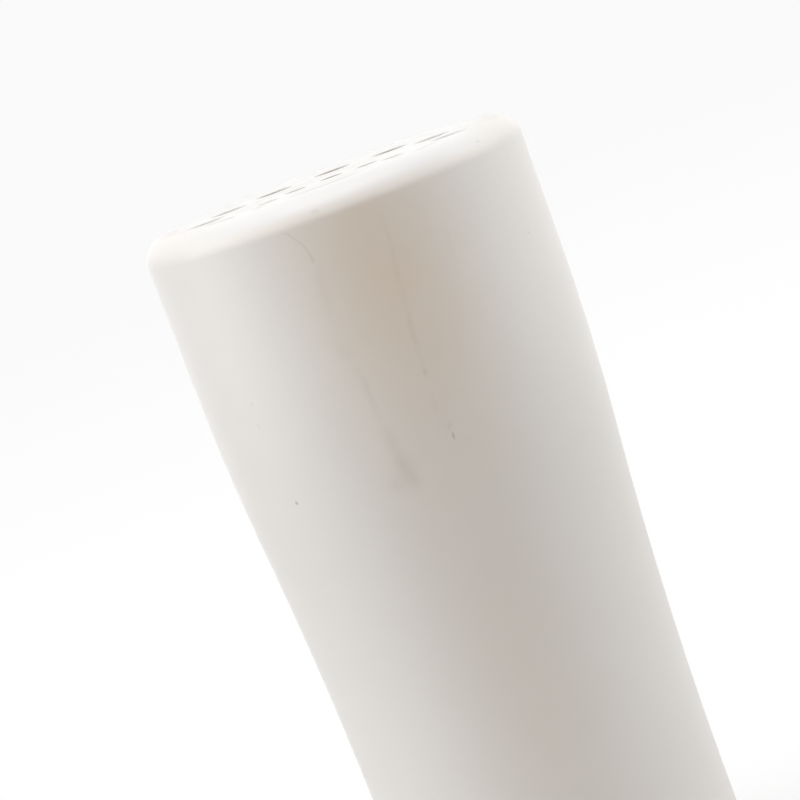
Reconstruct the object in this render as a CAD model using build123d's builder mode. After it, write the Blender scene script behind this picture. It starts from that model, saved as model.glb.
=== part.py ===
from build123d import *
import math
import os

# Pepper mill with a salt-shaker head. Millimetres, +Z up, origin at the centre of the foot.
# The head turns on the lower body, drives the square shaft and grinds pepper out of the bottom.
# Lifted off, it opens the pepper hopper; a plug in its floor opens the salt chamber.

# Outer form: straight band, convex shoulder and concave waist, the same at both ends
height = 171.0
body_diameter = 50.0
waist_diameter = 44.6
band_length = 18.85
shoulder_length = 22.8
rim_fillet = 3.1
base_fillet = 1.2
seam_fillet = 0.4
wall = 2.2

# Perforated top, let down in two soft steps that each carry a ring of holes
top_plate = 3.0
rim_land = 0.5
step_fall = 0.43
step_run = 1.2
hole_count = 12
outer_hole_margin = 1.55
outer_hole_radius = 2.5
step_margin = 0.75
inner_hole_margin = 0.5
inner_hole_radius = 1.4
hole_fillet = 0.25

# Clearances
running_gap = 0.1
fixed_gap = 0.05
collar_gap = 0.2
seal_gap = 0.2
pull_gap = 0.3

# Places along the axis, measured from the waist
seam_drop = 17.5
neck_rise = 26.5
headroom = 6.0

# Foot and lower rim
foot_proud = 0.8
foot_depth = 1.5
foot_web = 0.5
foot_inset = 0.7
rim_height = 4.2
rim_width = 4.4

# Hopper tube that stands in the lower body and rises into the head
tube_wall = 1.5
tube_flange = 1.0
tube_flange_height = 2.0
tube_edge = 0.5
land_height = 6.0

# Rings on the neck of the hopper tube
bush_proud = 1.0
bush_depth = 0.5
bush_length = 6.0
bush_slit = 1.0
grip_rise = 10.0
grip_section = 0.9
clip_depth = 0.6
clip_thickness = 1.0
clip_proud = 0.7
clip_opening = 9.0

# Slip ring at the seam
slip_flange = 1.0
slip_inset = 0.45
slip_collar = 6.0
key_count = 3
key_width = 5.0
key_height = 3.0
key_reach = 0.9

# Grind adjuster, its pins and the thrust pin
knob_low = 1.6
knob_height = 5.0
knob_radius = 9.5
knob_edge = 0.6
flute_count = 20
flute_radius = 0.9
spigot_radius = 5.5
skirt_length = 5.0
skirt_wall = 1.8
retainer_radius = 0.75
thread_radius = 2.5
thread_flat = 2.1
thrust_low = 3.0
ball_radius = 1.5

# Bridge under the burrs
hub_thickness = 3.5
bridge_step = 1.6
ring_thickness = 4.0
arm_count = 3
arm_width = 3.4
bridge_lip = 1.6

# Burrs
burr_height = 12.0
rotor_rise = 1.3
throat_rise = 5.5
stator_wall = 1.2
tooth_count = 14
tooth_depth = 0.9
tooth_twist = 14.0
grind_gap = 0.5
grind_slope = 0.405
throat_open = 1.6
rotor_top_radius = 6.6

# Burr housing
housing_lip = 2.0
flange_thickness = 3.0
cup_wall = 1.8
lug_radius = 2.4
funnel_depth = 2.5
throat_step = 1.4

# Ledge in the lower body that carries the tube above and the housing below
ledge_thickness = 5.0
ledge_margin = 0.6

# Screws
screw_radius = 1.2
screw_head_radius = 2.1
screw_head_height = 1.6
screw_bite = 8.0
slot_width = 0.6
slot_depth = 0.8

# Shaft, its clip, washer, spring and guide
shaft_size = 5.0
shaft_tail = 0.7
shaft_tip_gap = 0.7
shaft_point = 0.6
groove_radius = 2.75
shaft_clip_thickness = 0.8
shaft_clip_radius = 5.0
washer_thickness = 0.8
washer_margin = 0.45
spring_radius = 4.9
wire_radius = 0.45
spring_turns = 4
guide_hub_margin = 0.65
guide_hub_height = 6.0
guide_ring_wall = 1.6
guide_ring_height = 4.0
guide_arm_width = 2.4

# Salt floor in the head
floor_thickness = 3.0
floor_gap = 1.25
seal_height = 1.2
seal_depth = 1.0
boss_radius = 2.8
boss_height = 14.0
boss_rib = 2.4
socket_radius = 4.4
socket_boss_wall = 1.4
socket_boss_length = 11.0
socket_roof = 1.0

# Salt plug in the floor
plug_boss_gap = 0.6
plug_radius = 4.1
plug_flange_radius = 5.2
plug_flange = 2.0
tab_length = 6.0
tab_width = 2.0
tab_height = 3.5
tab_fillet = 0.8

# How a solid sits on its location: standing on it, or reaching out from the axis
standing = (Align.CENTER, Align.CENTER, Align.MIN)
outwards = (Align.MIN, Align.CENTER, Align.MIN)

# Worked out from the outer form
body_radius = body_diameter / 2
waist_radius = waist_diameter / 2
waist_height = height / 2
shoulder_fall = body_radius - waist_radius
shoulder_run = waist_height - band_length
shoulder_turn = 2 * math.atan(shoulder_fall / shoulder_run)
shoulder_radius = shoulder_length / math.sin(shoulder_turn)
waist_arc_radius = (shoulder_run - shoulder_length) / math.sin(shoulder_turn)


def bow(radius, run):
    """How far an arc has left its tangent after a run along it."""
    return radius * (1 - math.sqrt(1 - (run / radius) ** 2))


def bend_level(inset):
    """Height where the drawn-in shoulder meets the waist."""
    return band_length + shoulder_length - inset * math.sin(shoulder_turn)


def column_radius(level, inset=0):
    """Radius of the column at a height, drawn in by an inset."""
    from_end = min(level, height - level)
    if from_end <= band_length:
        return body_radius - inset
    if from_end <= bend_level(inset):
        return body_radius - inset - bow(shoulder_radius - inset, from_end - band_length)
    return waist_radius - inset + bow(waist_arc_radius + inset, waist_height - from_end)


def column(inset, low, high, low_fillet=0, high_fillet=0):
    """Solid column drawn in by an inset, between two heights, with its outer edges rounded."""
    bend = bend_level(inset)
    breaks = [band_length, bend, height - bend, height - band_length]
    levels = [low] + [level for level in breaks if low < level < high] + [high]
    points = [(column_radius(level, inset), level) for level in levels]
    with BuildPart() as form:
        with BuildSketch(Plane.XZ) as profile:
            with BuildLine():
                for start, end in zip(points, points[1:]):
                    if end[1] <= band_length or start[1] >= height - band_length:
                        Line(start, end)
                    else:
                        middle = (start[1] + end[1]) / 2
                        ThreePointArc(start, (column_radius(middle, inset), middle), end)
                Polyline(points[-1], (0, high), (0, low), points[0])
            make_face()
            if low_fillet > 0:
                fillet(profile.vertices().group_by(Axis.Y)[0].sort_by(Axis.X)[-1], low_fillet)
            if high_fillet > 0:
                fillet(profile.vertices().group_by(Axis.Y)[-1].sort_by(Axis.X)[-1], high_fillet)
        revolve(axis=Axis.Z)
    return form.part


def slotted_screws(circle, count, start, seat, length):
    """Screws driven upwards on a circle, their heads hanging below the seat."""
    with BuildPart() as screws:
        with PolarLocations(circle, count, start):
            with Locations((0, 0, seat - screw_head_height)):
                Cylinder(screw_head_radius, screw_head_height, align=standing)
            with Locations((0, 0, seat)):
                Cylinder(screw_radius, length, align=standing)
            with Locations((0, 0, seat - screw_head_height)):
                Box(
                    2 * screw_head_radius,
                    slot_width,
                    slot_depth,
                    align=standing,
                    mode=Mode.SUBTRACT,
                )
    return screws.part


def tooth_points(tip, root, turn):
    """Zigzag outline of a toothed burr section, turned by an angle in degrees."""
    points = []
    for index in range(2 * tooth_count):
        angle = math.radians(turn) + math.pi * index / tooth_count
        reach = tip if index % 2 == 0 else root
        points.append((reach * math.cos(angle), reach * math.sin(angle)))
    return points


def least_gap(points, wire_diameter, skip):
    """Smallest clear distance between stretches of a wire at least skip points apart."""
    gaps = []
    for index, point in enumerate(points):
        for other in points[index + skip:]:
            gaps.append((other - point).length - wire_diameter)
    return min(gaps)


# Levels
seam_height = waist_height - seam_drop
head_low = seam_height + slip_flange
ceiling = height - top_plate
skirt_low = knob_low + knob_height + pull_gap
hub_low = skirt_low + skirt_length
hub_high = hub_low + hub_thickness
burr_low = hub_high + bridge_step
ring_low = burr_low - ring_thickness
burr_high = burr_low + burr_height
rotor_low = burr_low + rotor_rise
throat_level = burr_low + throat_rise
flange_low = burr_high + housing_lip
ledge_low = flange_low + flange_thickness
ledge_high = ledge_low + ledge_thickness
guide_low = ledge_high + tube_flange_height
neck_top = waist_height + neck_rise
floor_low = neck_top + headroom
floor_high = floor_low + floor_thickness
seal_low = floor_low + (floor_thickness - seal_height) / 2
rim_top = foot_proud + rim_height

# Radii, from the outside in
pocket_radius = body_radius - rim_width
flange_radius = pocket_radius - pull_gap
lug_circle = flange_radius - lug_radius - pull_gap
housing_screw_circle = flange_radius - screw_head_radius
cup_radius = housing_screw_circle - screw_head_radius - running_gap
stator_radius = cup_radius - cup_wall
grind_low_radius = stator_radius - stator_wall - tooth_depth
throat_radius = grind_low_radius - grind_slope * throat_rise
rotor_throat_radius = throat_radius - grind_gap
rotor_low_radius = rotor_throat_radius + grind_slope * (throat_level - rotor_low)
ledge_bore = housing_screw_circle - screw_radius - ledge_margin
neck_bore = waist_radius - wall
tube_radius = neck_bore - running_gap - bush_proud
tube_bore = tube_radius - tube_wall
guide_radius = tube_bore - running_gap
retainer_reach = spigot_radius - retainer_radius / 2
foot_outer = body_radius - base_fillet - foot_inset
foot_bore = pocket_radius + foot_web
ring_bore = stator_radius - bridge_lip

os.makedirs("parts", exist_ok=True)

# Lower body shell: bottom rim, pocket for the grinding set, ledge, and two lands for the tube
with BuildPart() as base_shell:
    add(column(0, foot_proud, seam_height, base_fillet, seam_fillet))
    with BuildSketch(Plane.XY.offset(foot_proud)):
        Circle(pocket_radius)
    extrude(amount=rim_height, mode=Mode.SUBTRACT)
    add(column(wall, rim_top, ledge_low), mode=Mode.SUBTRACT)
    with BuildSketch(Plane.XY.offset(ledge_low)):
        Circle(ledge_bore)
    extrude(amount=ledge_thickness, mode=Mode.SUBTRACT)
    with BuildSketch(Plane.XY.offset(ledge_high)):
        Circle(tube_radius + fixed_gap)
    extrude(amount=seam_height - ledge_high, mode=Mode.SUBTRACT)
    add(column(wall, ledge_high + land_height, seam_height - land_height), mode=Mode.SUBTRACT)
    with BuildSketch(Plane.XY.offset(foot_proud)):
        Circle(foot_outer)
        Circle(foot_bore, mode=Mode.SUBTRACT)
    extrude(amount=foot_depth, mode=Mode.SUBTRACT)
    with PolarLocations(housing_screw_circle, arm_count, 180 / arm_count):
        with Locations((0, 0, ledge_low)):
            Cylinder(
                screw_radius + fixed_gap,
                ledge_thickness - ledge_margin,
                align=standing,
                mode=Mode.SUBTRACT,
            )
base_shell.part.label = "base_shell"
export_step(base_shell.part, "parts/base_shell.step")

# Soft ring in the bottom rim that the mill stands on
with BuildPart() as foot_ring:
    with BuildSketch(Plane.XY):
        Circle(foot_outer)
        Circle(foot_bore, mode=Mode.SUBTRACT)
    extrude(amount=foot_proud + foot_depth)
foot_ring.part.label = "foot_ring"
export_step(foot_ring.part, "parts/foot_ring.step")

# Clear tube for the peppercorns, with an inner flange below and three grooves on its neck
slip_top = head_low + slip_collar
ring_clip_low = slip_top + running_gap
bush_low = waist_height - bush_length / 2
grip_height = waist_height + grip_rise
grip_circle = tube_radius + bush_proud - grip_section
with BuildPart() as hopper_tube:
    with BuildSketch(Plane.XY.offset(ledge_high)):
        Circle(tube_radius)
        Circle(tube_bore - tube_flange, mode=Mode.SUBTRACT)
    extrude(amount=neck_top - ledge_high)
    with BuildSketch(Plane.XY.offset(guide_low)):
        Circle(tube_bore)
    extrude(amount=neck_top - guide_low, mode=Mode.SUBTRACT)
    fillet(hopper_tube.edges().group_by(Axis.Z)[-1], tube_edge)
    with BuildSketch(Plane.XY.offset(ring_clip_low)):
        Circle(tube_radius + tube_wall)
        Circle(tube_radius - clip_depth, mode=Mode.SUBTRACT)
    extrude(amount=clip_thickness, mode=Mode.SUBTRACT)
    with BuildSketch(Plane.XY.offset(bush_low)):
        Circle(tube_radius + tube_wall)
        Circle(tube_radius - bush_depth, mode=Mode.SUBTRACT)
    extrude(amount=bush_length, mode=Mode.SUBTRACT)
    with BuildSketch(Plane.XY.offset(grip_height - grip_section)):
        Circle(tube_radius + tube_wall)
        Circle(grip_circle - grip_section, mode=Mode.SUBTRACT)
    extrude(amount=2 * grip_section, mode=Mode.SUBTRACT)
hopper_tube.part.label = "hopper_tube"
export_step(hopper_tube.part, "parts/hopper_tube.step")

# Split bearing bush at the waist that centres the turning head
with BuildPart() as neck_bush:
    with BuildSketch(Plane.XY.offset(bush_low)):
        Circle(tube_radius + bush_proud)
        Circle(tube_radius - bush_depth, mode=Mode.SUBTRACT)
        Rectangle(2 * body_radius, bush_slit, align=(Align.MIN, Align.CENTER), mode=Mode.SUBTRACT)
    extrude(amount=bush_length)
neck_bush.part.label = "neck_bush"
export_step(neck_bush.part, "parts/neck_bush.step")

# Soft round ring that holds the head by friction
with BuildPart() as grip_ring:
    with Locations((0, 0, grip_height)):
        Torus(grip_circle, grip_section)
grip_ring.part.label = "grip_ring"
export_step(grip_ring.part, "parts/grip_ring.step")

# Open snap ring that keeps the slip ring on the neck
with BuildPart() as ring_clip:
    with BuildSketch(Plane.XY.offset(ring_clip_low)):
        Circle(tube_radius + clip_proud)
        Circle(tube_radius - clip_depth, mode=Mode.SUBTRACT)
        Rectangle(2 * body_radius, clip_opening, align=(Align.MIN, Align.CENTER), mode=Mode.SUBTRACT)
    extrude(amount=clip_thickness)
ring_clip.part.label = "ring_clip"
export_step(ring_clip.part, "parts/ring_clip.step")

# Slip ring between the halves; its keys turn with the head
slip_bore = tube_radius + running_gap
slip_outer = column_radius(seam_height) - slip_inset
collar_radius = neck_bore - collar_gap
key_radius = column_radius(head_low, wall) + key_reach
with BuildPart() as slip_ring:
    with BuildSketch(Plane.XY.offset(seam_height)):
        Circle(slip_outer)
    extrude(amount=slip_flange)
    with BuildSketch(Plane.XY.offset(head_low)):
        Circle(collar_radius)
    extrude(amount=slip_collar)
    with PolarLocations(0, key_count):
        with Locations((0, 0, head_low)):
            Box(
                key_radius,
                key_width,
                key_height,
                align=outwards,
            )
    with BuildSketch(Plane.XY.offset(seam_height)):
        Circle(slip_bore)
    extrude(amount=slip_flange + slip_collar, mode=Mode.SUBTRACT)
slip_ring.part.label = "slip_ring"
export_step(slip_ring.part, "parts/slip_ring.step")

# Burr housing: flange under the ledge, funnel, cup for the stator and three screw lugs
throat_bore = stator_radius - throat_step
with BuildPart() as burr_housing:
    with BuildSketch(Plane.XY.offset(burr_low)):
        Circle(cup_radius)
        with PolarLocations(lug_circle, arm_count):
            Circle(lug_radius)
    extrude(amount=burr_height + housing_lip)
    with BuildSketch(Plane.XY.offset(flange_low)):
        Circle(flange_radius)
    extrude(amount=flange_thickness)
    with BuildSketch(Plane.XY.offset(burr_low)):
        Circle(throat_bore)
    extrude(amount=ledge_low - burr_low, mode=Mode.SUBTRACT)
    with BuildSketch(Plane.XY.offset(burr_low)):
        Circle(stator_radius + fixed_gap)
    extrude(amount=burr_height, mode=Mode.SUBTRACT)
    with BuildSketch(Plane.XY.offset(ledge_low - funnel_depth)):
        Circle(throat_bore)
    with BuildSketch(Plane.XY.offset(ledge_low)):
        Circle(ledge_bore)
    loft(mode=Mode.SUBTRACT)
    with PolarLocations(lug_circle, arm_count):
        with Locations((0, 0, burr_low)):
            Cylinder(
                screw_radius + fixed_gap,
                screw_bite + running_gap,
                align=standing,
                mode=Mode.SUBTRACT,
            )
    with PolarLocations(housing_screw_circle, arm_count, 180 / arm_count):
        with Locations((0, 0, flange_low)):
            Cylinder(
                screw_radius + running_gap,
                flange_thickness,
                align=standing,
                mode=Mode.SUBTRACT,
            )
burr_housing.part.label = "burr_housing"
export_step(burr_housing.part, "parts/burr_housing.step")

# Screws that hold the housing up against the ledge
housing_screw_length = flange_thickness + ledge_thickness - 2 * ledge_margin
with BuildPart() as housing_screws:
    add(
        slotted_screws(
            housing_screw_circle, arm_count, 180 / arm_count, flange_low, housing_screw_length
        )
    )
housing_screws.part.label = "housing_screws"
export_step(housing_screws.part, "parts/housing_screws.step")

# Fixed ceramic burr: its bore narrows to a throat, then opens towards the bottom
stator_sections = [
    (burr_low, grind_low_radius, 0),
    (throat_level, throat_radius, tooth_twist),
    (burr_high, throat_radius + throat_open, 2 * tooth_twist),
]
with BuildPart() as stator_burr:
    with BuildSketch(Plane.XY.offset(burr_low)):
        Circle(stator_radius)
    extrude(amount=burr_height)
    for level, ridge, turn in stator_sections:
        with BuildSketch(Plane.XY.offset(level)):
            with BuildLine():
                Polyline(*tooth_points(ridge, ridge + tooth_depth, turn), close=True)
            make_face()
    loft(ruled=True, mode=Mode.SUBTRACT)
stator_burr.part.label = "stator_burr"
export_step(stator_burr.part, "parts/stator_burr.step")

# Bridge: ring under the stator, three arms and a hub with a skirt for the adjuster
skirt_bore = spigot_radius + running_gap
skirt_radius = skirt_bore + skirt_wall
retainer_level = skirt_low + skirt_length / 2
with BuildPart() as bridge:
    with BuildSketch(Plane.XY.offset(ring_low)):
        Circle(cup_radius)
        with PolarLocations(lug_circle, arm_count):
            Circle(lug_radius)
        Circle(ring_bore, mode=Mode.SUBTRACT)
    extrude(amount=ring_thickness)
    with BuildSketch(Plane.XY.offset(hub_low)):
        Circle(skirt_radius)
        with PolarLocations(0, arm_count):
            Rectangle(
                (ring_bore + cup_radius) / 2, arm_width, align=(Align.MIN, Align.CENTER)
            )
    extrude(amount=hub_thickness)
    with BuildSketch(Plane.XY.offset(skirt_low)):
        Circle(skirt_radius)
        Circle(skirt_bore, mode=Mode.SUBTRACT)
    extrude(amount=skirt_length)
    with BuildSketch(Plane.XY.offset(hub_low)):
        Circle(thread_radius + running_gap)
        Rectangle(
            2 * (thread_radius + running_gap), 2 * (thread_flat + running_gap), mode=Mode.INTERSECT
        )
    extrude(amount=hub_thickness, mode=Mode.SUBTRACT)
    with BuildSketch(Plane.XZ.offset(-body_radius)):
        with Locations((-retainer_reach, retainer_level), (retainer_reach, retainer_level)):
            Circle(retainer_radius)
    extrude(amount=body_diameter, mode=Mode.SUBTRACT)
    with PolarLocations(lug_circle, arm_count):
        with Locations((0, 0, ring_low)):
            Cylinder(
                screw_radius + running_gap,
                ring_thickness,
                align=standing,
                mode=Mode.SUBTRACT,
            )
bridge.part.label = "bridge"
export_step(bridge.part, "parts/bridge.step")

# Screws that clamp the bridge and the stator to the housing
with BuildPart() as bridge_screws:
    add(slotted_screws(lug_circle, arm_count, 0, ring_low, ring_thickness + screw_bite))
bridge_screws.part.label = "bridge_screws"
export_step(bridge_screws.part, "parts/bridge_screws.step")

# Two cross pins that keep the adjuster in the skirt
retainer_length = 2 * math.sqrt(skirt_radius**2 - retainer_reach**2)
with BuildPart() as adjuster_pins:
    with BuildSketch(Plane.XZ.offset(-retainer_length / 2)):
        with Locations((-retainer_reach, retainer_level), (retainer_reach, retainer_level)):
            Circle(retainer_radius)
    extrude(amount=retainer_length)
adjuster_pins.part.label = "adjuster_pins"
export_step(adjuster_pins.part, "parts/adjuster_pins.step")

# Grind adjuster: fluted knob and a threaded spigot, turning in the skirt
with BuildPart() as grind_adjuster:
    with BuildSketch(Plane.XY.offset(knob_low)):
        Circle(knob_radius)
    extrude(amount=knob_height)
    chamfer(grind_adjuster.edges().filter_by(GeomType.CIRCLE), knob_edge)
    with BuildSketch(Plane.XY.offset(knob_low)):
        with PolarLocations(knob_radius, flute_count):
            Circle(flute_radius)
    extrude(amount=knob_height, mode=Mode.SUBTRACT)
    with BuildSketch(Plane.XY.offset(knob_low + knob_height)):
        Circle(spigot_radius)
    extrude(amount=pull_gap + skirt_length - running_gap)
    with BuildSketch(Plane.XY.offset(retainer_level - retainer_radius - running_gap)):
        Circle(spigot_radius)
        Circle(retainer_reach - retainer_radius - running_gap, mode=Mode.SUBTRACT)
    extrude(amount=2 * (retainer_radius + running_gap), mode=Mode.SUBTRACT)
    with BuildSketch(Plane.XY.offset(knob_low)):
        Circle(thread_radius + fixed_gap)
    extrude(amount=knob_height + pull_gap + skirt_length, mode=Mode.SUBTRACT)
grind_adjuster.part.label = "grind_adjuster"
export_step(grind_adjuster.part, "parts/grind_adjuster.step")

# Thrust pin with two flats, raised and lowered by the adjuster, and the ball in its cup
shaft_low = rotor_low - shaft_clip_thickness - shaft_tail
ball_height = shaft_low - fixed_gap - ball_radius
thrust_high = ball_height - ball_radius / 4
with BuildPart() as thrust_pin:
    with BuildSketch(Plane.XY.offset(thrust_low)):
        Circle(thread_radius)
        Rectangle(2 * thread_radius, 2 * thread_flat, mode=Mode.INTERSECT)
    extrude(amount=thrust_high - thrust_low)
    with Locations((0, 0, ball_height)):
        Sphere(ball_radius + fixed_gap, mode=Mode.SUBTRACT)
thrust_pin.part.label = "thrust_pin"
export_step(thrust_pin.part, "parts/thrust_pin.step")

with BuildPart() as thrust_ball:
    with Locations((0, 0, ball_height)):
        Sphere(ball_radius)
thrust_ball.part.label = "thrust_ball"
export_step(thrust_ball.part, "parts/thrust_ball.step")

# Square drive shaft from the ball up into the head
socket_low = floor_low - socket_boss_length
socket_high = floor_low - socket_roof
shaft_high = socket_high - shaft_tip_gap
with BuildPart() as drive_shaft:
    with BuildSketch(Plane.XY.offset(shaft_low)):
        Rectangle(shaft_size, shaft_size)
    extrude(amount=shaft_high - shaft_low)
    chamfer(drive_shaft.faces().sort_by(Axis.Z)[-1].edges(), shaft_point)
    with BuildSketch(Plane.XY.offset(shaft_low + shaft_tail)):
        Circle(shaft_clip_radius)
        Circle(groove_radius, mode=Mode.SUBTRACT)
    extrude(amount=shaft_clip_thickness, mode=Mode.SUBTRACT)
drive_shaft.part.label = "drive_shaft"
export_step(drive_shaft.part, "parts/drive_shaft.step")

# Open clip in the shaft's groove that carries the rotor
with BuildPart() as shaft_clip:
    with BuildSketch(Plane.XY.offset(shaft_low + shaft_tail)):
        Circle(shaft_clip_radius)
        Circle(groove_radius + fixed_gap, mode=Mode.SUBTRACT)
        Rectangle(
            2 * shaft_clip_radius, shaft_size, align=(Align.MIN, Align.CENTER), mode=Mode.SUBTRACT
        )
    extrude(amount=shaft_clip_thickness)
shaft_clip.part.label = "shaft_clip"
export_step(shaft_clip.part, "parts/shaft_clip.step")

# Turning ceramic burr, a toothed cone on the square shaft
rotor_sections = [
    (rotor_low, rotor_low_radius, 0),
    (throat_level, rotor_throat_radius, -tooth_twist),
    (burr_high, rotor_top_radius, -2 * tooth_twist),
]
with BuildPart() as rotor_burr:
    for level, tip, turn in rotor_sections:
        with BuildSketch(Plane.XY.offset(level)):
            with BuildLine():
                Polyline(*tooth_points(tip, tip - tooth_depth, turn), close=True)
            make_face()
    loft(ruled=True)
    with BuildSketch(Plane.XY.offset(rotor_low)):
        Rectangle(shaft_size + 2 * fixed_gap, shaft_size + 2 * fixed_gap)
    extrude(amount=burr_high - rotor_low, mode=Mode.SUBTRACT)
rotor_burr.part.label = "rotor_burr"
export_step(rotor_burr.part, "parts/rotor_burr.step")

# Washer between the rotor and its spring
washer_radius = spring_radius + wire_radius + washer_margin
with BuildPart() as spring_washer:
    with BuildSketch(Plane.XY.offset(burr_high)):
        Circle(washer_radius)
        Rectangle(shaft_size + 2 * fixed_gap, shaft_size + 2 * fixed_gap, mode=Mode.SUBTRACT)
    extrude(amount=washer_thickness)
spring_washer.part.label = "spring_washer"
export_step(spring_washer.part, "parts/spring_washer.step")

# Guide for the shaft: ring in the tube, three arms, and a hub that reaches down to the spring
guide_bore = shaft_size / math.sqrt(2) + running_gap
guide_hub_radius = spring_radius + wire_radius + guide_hub_margin
with BuildPart() as shaft_guide:
    with BuildSketch(Plane.XY.offset(guide_low)):
        Circle(guide_radius)
        Circle(guide_radius - guide_ring_wall, mode=Mode.SUBTRACT)
    extrude(amount=guide_ring_height)
    with BuildSketch(Plane.XY.offset(guide_low)):
        with PolarLocations(0, arm_count):
            Rectangle(
                guide_radius - guide_ring_wall / 2, guide_arm_width, align=(Align.MIN, Align.CENTER)
            )
    extrude(amount=guide_ring_height)
    with BuildSketch(Plane.XY.offset(guide_low)):
        Circle(guide_hub_radius)
    extrude(amount=guide_hub_height)
    with BuildSketch(Plane.XY.offset(guide_low)):
        Circle(guide_bore)
    extrude(amount=guide_hub_height, mode=Mode.SUBTRACT)
shaft_guide.part.label = "shaft_guide"
export_step(shaft_guide.part, "parts/shaft_guide.step")

# Compression spring that presses the rotor down: quarter turns of two tangent arcs each
spring_low = burr_high + washer_thickness + wire_radius + fixed_gap
spring_high = guide_low - wire_radius - fixed_gap
spring_pitch = (spring_high - spring_low) / spring_turns
quarter_count = 4 * spring_turns


def coil_point(quarter):
    """Centre of the wire after a number of quarter turns."""
    angle = quarter * math.pi / 2
    rise = spring_pitch * quarter / 4
    return Vector(spring_radius * math.cos(angle), spring_radius * math.sin(angle), spring_low + rise)


def coil_direction(quarter):
    """Unit direction of the wire after a number of quarter turns."""
    angle = quarter * math.pi / 2
    climb = spring_pitch / (2 * math.pi)
    return Vector(
        -spring_radius * math.sin(angle), spring_radius * math.cos(angle), climb
    ).normalized()


with BuildPart() as burr_spring:
    with BuildLine() as coil:
        for quarter in range(quarter_count):
            start = coil_point(quarter)
            end = coil_point(quarter + 1)
            start_way = coil_direction(quarter)
            end_way = coil_direction(quarter + 1)
            span = end - start
            square = 2 * (1 - start_way.dot(end_way))
            linear = 2 * span.dot(start_way + end_way)
            reach = (-linear + math.sqrt(linear**2 + 4 * square * span.dot(span))) / (2 * square)
            middle = (start + start_way * reach + end - end_way * reach) * 0.5
            TangentArc(start, middle, tangent=start_way)
            TangentArc(end, middle, tangent=end_way * -1)
    with BuildSketch(Plane(origin=coil_point(0), z_dir=coil_direction(0))):
        Circle(wire_radius)
    sweep(path=coil.wires()[0])
burr_spring.part.label = "burr_spring"
export_step(burr_spring.part, "parts/burr_spring.step")
samples_per_turn = 48
coil_wire = coil.wires()[0]
coil_points = [
    coil_wire @ (index / (samples_per_turn * spring_turns))
    for index in range(samples_per_turn * spring_turns + 1)
]
spring_gap = least_gap(coil_points, 2 * wire_radius, samples_per_turn // 2)
volume_share = burr_spring.part.volume / (math.pi * wire_radius**2 * coil_wire.length)
print(f"burr spring: least gap {spring_gap:.2f} mm, volume {volume_share:.4f} of its wire")

# Hollow of the head above the seam, less three bosses for the salt floor's screws
floor_radius = column_radius(seal_low, wall) - floor_gap
boss_circle = floor_radius - boss_radius
with BuildPart() as head_hollow:
    add(column(wall, head_low, ceiling))
    with PolarLocations(boss_circle, arm_count, 180 / arm_count):
        with Locations((0, 0, floor_high)):
            Cylinder(
                boss_radius,
                boss_height,
                align=standing,
                mode=Mode.SUBTRACT,
            )
            Box(
                body_radius,
                boss_rib,
                boss_height,
                align=outwards,
                mode=Mode.SUBTRACT,
            )

# Head shell: waisted column, rounded rim, stepped top with two rings of holes, open below
outer_edge = body_radius - rim_fillet - rim_land
outer_foot = outer_edge - step_run
outer_hole_circle = outer_foot - outer_hole_margin - outer_hole_radius
inner_edge = outer_hole_circle - outer_hole_radius - step_margin
inner_foot = inner_edge - step_run
inner_hole_circle = inner_foot - inner_hole_margin - inner_hole_radius
outer_level = height - step_fall
inner_level = outer_level - step_fall
steps = [(outer_edge, height), (inner_edge, outer_level)]
hole_rings = [(outer_hole_circle, outer_hole_radius), (inner_hole_circle, inner_hole_radius)]
with BuildPart() as head_shell:
    add(column(0, head_low, height, seam_fillet, rim_fillet))
    with BuildSketch(Plane.XZ):
        with BuildLine():
            for edge, level in steps:
                middle = (edge - step_run / 2, level - step_fall / 2)
                TangentArc((edge, level), middle, tangent=(-1, 0))
                TangentArc((edge - step_run, level - step_fall), middle, tangent=(1, 0))
            Line((outer_foot, outer_level), (inner_edge, outer_level))
            Polyline((inner_foot, inner_level), (0, inner_level), (0, height), (outer_edge, height))
        make_face()
    revolve(axis=Axis.Z, mode=Mode.SUBTRACT)
    add(head_hollow.part, mode=Mode.SUBTRACT)
    for circle, radius in hole_rings:
        with Locations((0, 0, height)):
            with PolarLocations(circle, hole_count):
                Hole(radius, 2 * top_plate)
        rims = head_shell.edges(Select.LAST).filter_by_position(Axis.Z, inner_level, height)
        fillet(rims, hole_fillet)
    with PolarLocations(0, key_count):
        with Locations((0, 0, head_low)):
            Box(
                key_radius + running_gap,
                key_width + 2 * running_gap,
                key_height + running_gap,
                align=outwards,
                mode=Mode.SUBTRACT,
            )
    with PolarLocations(boss_circle, arm_count, 180 / arm_count):
        with Locations((0, 0, floor_high)):
            Cylinder(
                screw_radius + fixed_gap,
                screw_bite + running_gap,
                align=standing,
                mode=Mode.SUBTRACT,
            )
head_shell.part.label = "head_shell"
export_step(head_shell.part, "parts/head_shell.step")

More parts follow.
